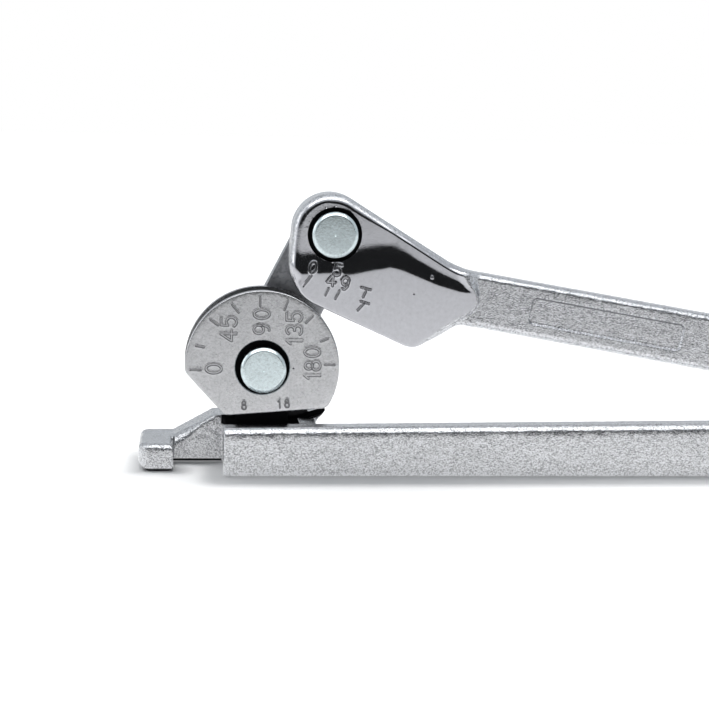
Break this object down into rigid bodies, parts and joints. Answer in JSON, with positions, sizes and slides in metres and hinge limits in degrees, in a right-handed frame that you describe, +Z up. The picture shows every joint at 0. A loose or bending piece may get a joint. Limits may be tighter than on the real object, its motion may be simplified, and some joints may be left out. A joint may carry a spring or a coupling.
{
  "type": "tube bender",
  "caption": "Hand tube bender: grooved form wheel with a dial and end hook on a forged handle, and a second handle whose head is the rolling shoe.",
  "frame": {"origin": "on the flat underside of the lower handle's neck, straight below the wheel's pivot, with Y zero at the middle of the tube", "axes": "+X along the lower handle away from the hook, +Y along both pivots from the dial side to the link side, +Z up"},
  "size_m": [0.2208, 0.0298, 0.0695],
  "materials": {
    "forging": "forged and plated, grainy satin",
    "wheel": "machined and plated, smooth satin",
    "slide": "plated forging, polished head and grainy shank",
    "link": "plated plate, satin",
    "pin": "zinc plated, smooth",
    "washer": "plated, satin",
    "bush": "plain bearing bronze",
    "spring": "dark spring steel"
  },
  "bodies": {
    "form": {"form_handle": "forging", "form_wheel": "wheel", "wheel_dowel_left": "pin", "wheel_dowel_right": "pin", "form_pivot_pin": "pin", "form_front_washer": "washer", "form_rear_washer": "washer", "form_disc_spring": "spring", "form_retaining_ring": "spring"},
    "link": {"link_plate": "link", "link_bush_lower": "bush", "link_bush_upper": "bush", "slide_pivot_pin": "pin", "slide_front_washer": "washer", "slide_rear_washer": "washer", "slide_disc_spring": "spring", "slide_retaining_ring": "spring"},
    "slide": {"slide_handle": "slide"}
  },
  "joints": [
    {"name": "link_pivot", "type": "hinge", "parent": "form", "child": "link", "pos_m": [0, 0, 0.0256], "axis": [0, 1, 0], "range_deg": [-116, 64]},
    {"name": "handle_pivot", "type": "hinge", "parent": "link", "child": "slide", "pos_m": [0.01721, 0, 0.05937], "axis": [0, -1, 0], "range_deg": [0, 120]}
  ]
}
